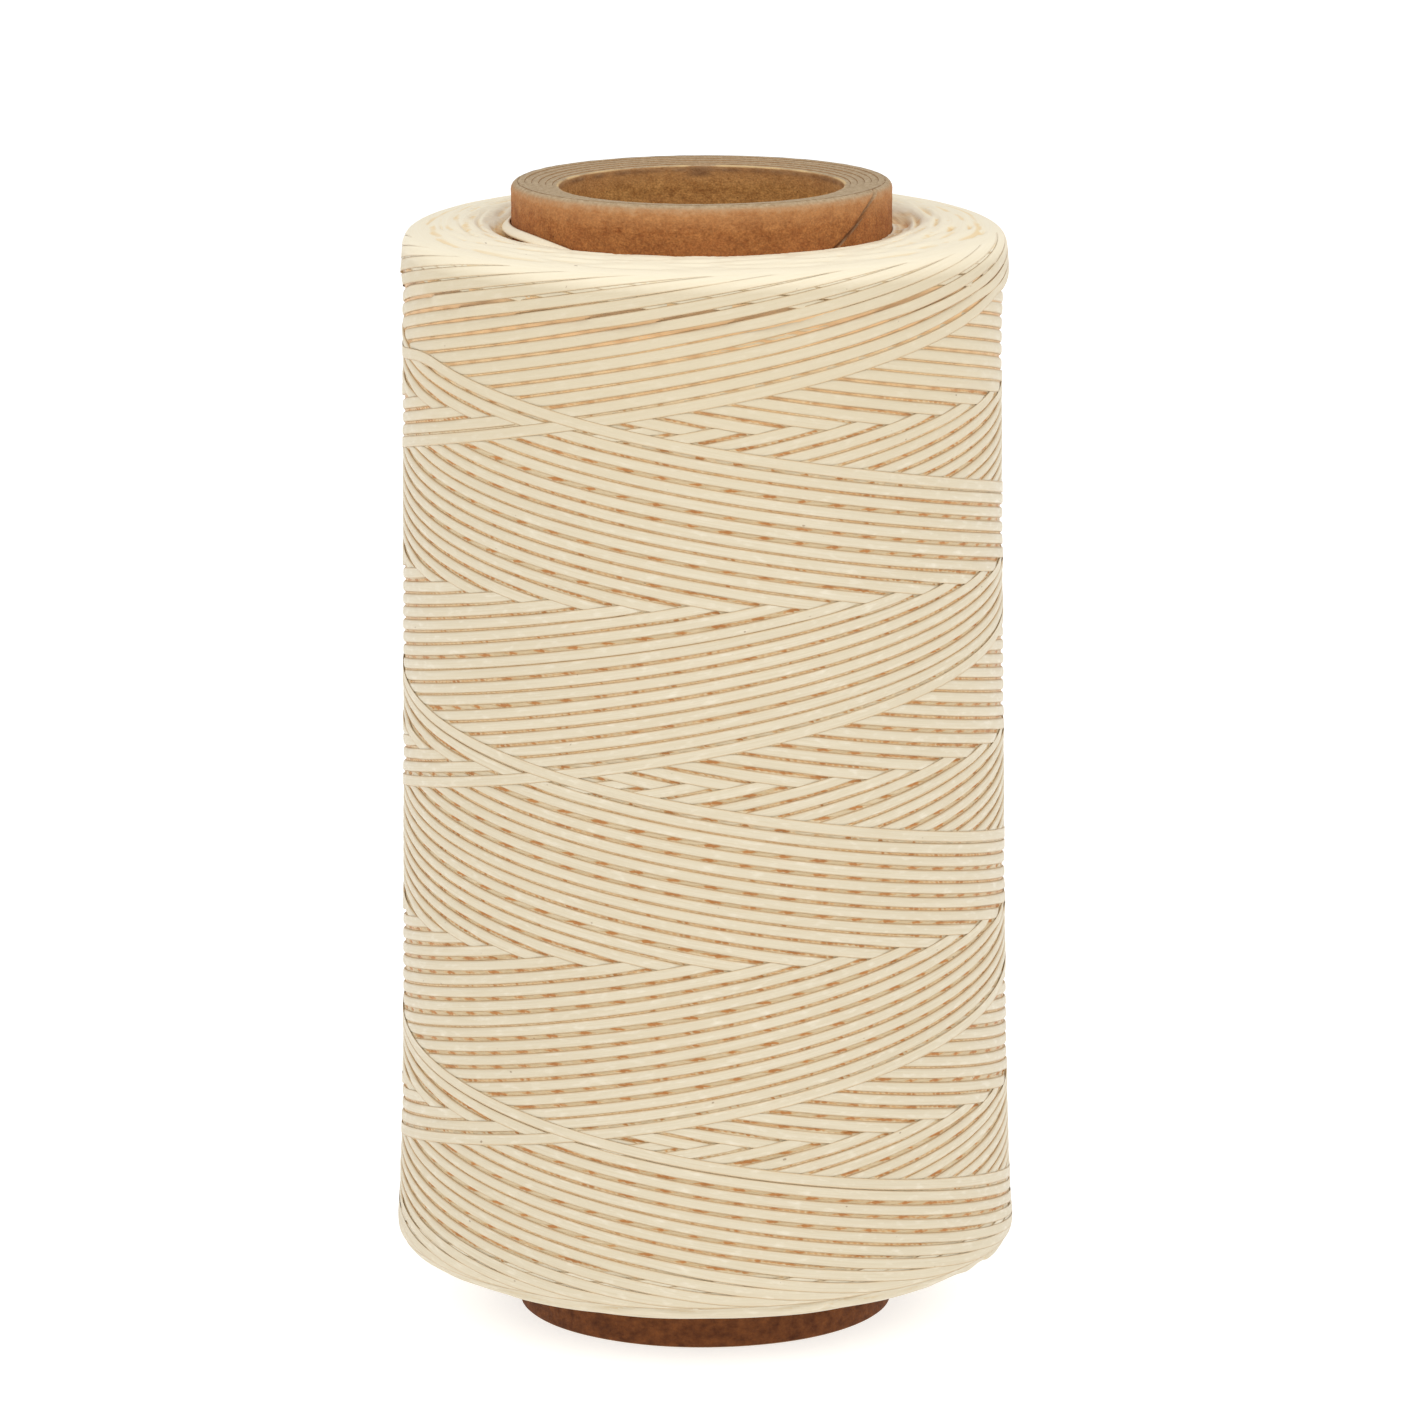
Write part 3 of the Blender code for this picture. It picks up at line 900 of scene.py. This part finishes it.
def make_ply(index, material):
    """One ply of the tube, a little uneven at its ends, as a cut paper tube is."""
    name = "visual_" + PLY_NODES[index]
    last = len(PLY_NODES) - 1
    inner = BORE_RADIUS if index == 0 else PLY_RADII[index - 1] + GLUE_LINE
    outer = PLY_RADII[index]
    rounding_out = WORN_RIM if index == last else CUT_EDGE
    rounding_in = LINER_LIP if index == 0 else CUT_EDGE
    rows = 100 if index == last else 40
    radius, height = ply_section(inner, outer, rounding_out, rounding_in, rows)
    column = seam_columns(256) if index == last else np.arange(256) / 256 * TURN
    twist = (height - TUBE_HEIGHT) / SEAM_LEAD * TURN * (1.0 if index == last else 0.0)
    angle = SEAM_TOP_ANGLE + column[:, None] + twist
    radius = np.broadcast_to(radius, angle.shape).copy()
    height = np.broadcast_to(height, angle.shape).copy()
    near_top = np.clip(1.0 - (TUBE_HEIGHT - height) / 1.2, 0.0, 1.0)
    dish = END_DISH * max(1.0 - index / (last - 1), 0.0)
    recess = PLY_RECESS[index] + END_RECESS
    rough = round_noise(angle, 0.005, 2, 9) + round_noise(angle, 0.007, 20, 60)
    height -= near_top * (dish + np.clip(recess + rough, 0.0, 1.0))
    if index == last:
        radius = dent_wrap(radius, column, angle, height)
    if index == 0:
        radius = fray_liner(radius, angle, height)
    points = np.stack([radius * np.sin(angle), -radius * np.cos(angle), height], axis=-1)
    piece = make_ring(name, points, material)
    seam = np.zeros(angle.shape)
    if index == last:
        # Painted shade along the butt seam's groove.
        seam = np.exp(-(seam_offset(column, height) / 0.20) ** 2)
    if index == 0:
        seam = torn_lip(radius, angle, height)
    add_values(piece.data, "seam", "FLOAT", seam)
    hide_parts(PLY_NODES[index])
    return piece


def dent_wrap(radius, column, angle, height):
    """The outer ply's butt seam, and slight waves from handling."""
    wall = radius > TUBE_RADIUS - 0.5
    offset = seam_offset(column, height)
    groove = 0.35 * np.exp(-(offset / 0.16) ** 4)
    lip = 0.09 * np.exp(-((offset - 0.4) / 0.3) ** 2) - 0.05 * np.exp(-((offset + 0.4) / 0.3) ** 2)
    wave = round_noise(angle, 0.02, 3, 11) * np.cos(height * 0.7)
    return radius + wall * (lip - groove + wave)


def torn_lip(radius, angle, height):
    """Marks on the liner: above 0 painted shade, dark under its lip and in its tear; below 0 a pale
    lip.
    """
    below = TUBE_HEIGHT - END_DISH - height
    line = np.exp(-((below - 0.46) / 0.20) ** 2)
    line = line * np.clip(0.7 + round_noise(angle, 0.40, 5, 40), 0.1, 1.0)
    away = (angle - math.radians(181.0) + math.pi) % TURN - math.pi
    tear = np.exp(-(away / 0.09) ** 4 - ((below - 0.55) / 0.50) ** 4)
    lip = np.exp(-((below - 0.10) / 0.10) ** 2) * (radius < BORE_RADIUS + 0.2)
    lip = lip * np.clip(0.55 + round_noise(angle, 0.45, 3, 30), 0.0, 1.0)
    return np.maximum(line, tear) - lip * (1.0 - tear)


def fray_liner(radius, angle, height):
    """The liner's cut lip, pushed in over the bore and torn at the back."""
    wall = radius < BORE_RADIUS + 0.2
    near = np.clip(1.0 - (TUBE_HEIGHT - height) / 0.8, 0.0, 1.0) ** 2
    back = 0.5 - 0.5 * np.cos(angle)
    shag = np.clip(round_noise(angle, 0.12, 12, 60) + 0.06, 0.0, 0.3) * (0.5 + 0.9 * back)
    return radius - wall * near * shag


# ---- the scene ----

def make_camera():
    """The photograph's view: level-headed, from the front and a little above."""
    data = bpy.data.cameras.new("camera")
    data.sensor_width = 36.0
    data.lens = CAMERA_LENS
    data.clip_end = 50.0
    camera = bpy.data.objects.new("camera", data)
    tilt = Matrix.Rotation(math.radians(90.0) - CAMERA_DOWN, 4, "X")
    roll = Matrix.Rotation(CAMERA_ROLL, 4, "Z")
    camera.matrix_world = Matrix.Translation(CAMERA_PLACE) @ tilt @ roll
    bpy.context.scene.collection.objects.link(camera)
    bpy.context.scene.camera = camera


def make_light(name, place, aim, size, power):
    """A large soft panel pointed at the spool."""
    data = bpy.data.lights.new(name, "AREA")
    data.shape = "DISK"
    data.size = size
    data.energy = power
    lamp = bpy.data.objects.new(name, data)
    turn = (Vector(place) - Vector(aim)).to_track_quat("Z", "Y")
    lamp.matrix_world = Matrix.Translation(place) @ turn.to_matrix().to_4x4()
    bpy.context.scene.collection.objects.link(lamp)


def make_studio():
    """White card under the spool, white room light and a soft panel to each side of the front."""
    world = bpy.data.worlds.new("studio")
    bpy.context.scene.world = world
    world.use_nodes = True
    world.node_tree.nodes["Background"].inputs["Color"].default_value = (1.0, 1.0, 1.0, 1.0)
    world.node_tree.nodes["Background"].inputs["Strength"].default_value = ROOM_LIGHT
    make_light("panel_left", (-0.78, -0.61, 0.74), PANEL_AIM, PANEL_SIZE, PANEL_POWER)
    make_light("panel_right", (0.78, -0.61, 0.74), PANEL_AIM, PANEL_SIZE,
               RIGHT_PANEL_GAIN * PANEL_POWER)
    mesh = bpy.data.meshes.new("card")
    steps = np.linspace(-CARD_HALF, CARD_HALF, 5)
    points = [(x, y, 0.0) for y in steps for x in steps]
    corners = [row * 5 + column for row in range(4) for column in range(4)]
    faces = [(corner, corner + 1, corner + 6, corner + 5) for corner in corners]
    mesh.from_pydata(points, [], faces)
    mesh.materials.append(floor_material("studio_card"))
    card = bpy.data.objects.new("card", mesh)
    bpy.context.scene.collection.objects.link(card)
    bpy.context.scene.view_settings.view_transform = "Standard"


def make_tube():
    """The seven plies: brown liner, grey-brown board and a red-brown wrap."""
    end = (rgb(158, 133, 101), rgb(197, 175, 143))
    liner = paper_material("liner_paper", rgb(155, 101, 46), rgb(223, 166, 96), *end)
    board = paper_material("board_paper", rgb(150, 112, 72), rgb(190, 156, 116), *end)
    wrap = paper_material("wrap_paper", rgb(143, 82, 37), rgb(192, 128, 70), *end)
    for index in range(len(PLY_NODES)):
        if index == 0:
            make_ply(index, liner)
        elif index == len(PLY_NODES) - 1:
            make_ply(index, wrap)
        else:
            make_ply(index, board)


def make_winding():
    """Lays the thread, then makes the strands that show and the bed under them."""
    wind_rings(np.arange(0.6, 12.5, 0.7))
    wind_rings(RUN[-1] - np.arange(0.6, 14.5, 0.7))
    wind_end(np.arange(0.6, 8.0, 0.45), 1.0, 13)
    wind_end(RUN[-1] - np.arange(0.6, 8.6, 0.8), -1.0, 10)
    side = wind_side()
    fields = settle()
    thread = thread_material("waxed_thread")
    for group in range(0, len(side), 3):
        name = f"thread_pass_{group // 3 + 1:02d}"
        strands = [strand for pair in side[group:group + 3] for strand in pair]
        piece = make_strands(name, strands, fields, thread, 2 * group)
        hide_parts("thread_outer_layers")
    top_skin = make_ground("thread_top_turns", 0.0, TOP_SKIN, 80, 1080, fields, thread)
    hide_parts("thread_inner_layers", "thread_middle_layers", "thread_outer_layers")
    start = RUN[-1] - BOTTOM_SKIN
    bottom_skin = make_ground("thread_bottom_turns", start, RUN[-1], 80, 1080, fields, thread)
    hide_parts("thread_inner_layers", "thread_middle_layers", "thread_outer_layers")
    amber = bed_material("waxed_bed")
    edges = np.linspace(TOP_SKIN, start, 7)
    for index in range(6):
        first, last = edges[index] - 0.1, edges[index + 1] + 0.1
        bed = make_ground(f"thread_bed_{index + 1}", first, last, 112, 768, fields, amber)
        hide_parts("thread_middle_layers")
    slipped = make_slipped_turn(thread)
    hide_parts("slipped_thread_turn")


make_camera()
make_studio()
make_tube()
make_winding()
bpy.context.view_layer.update()
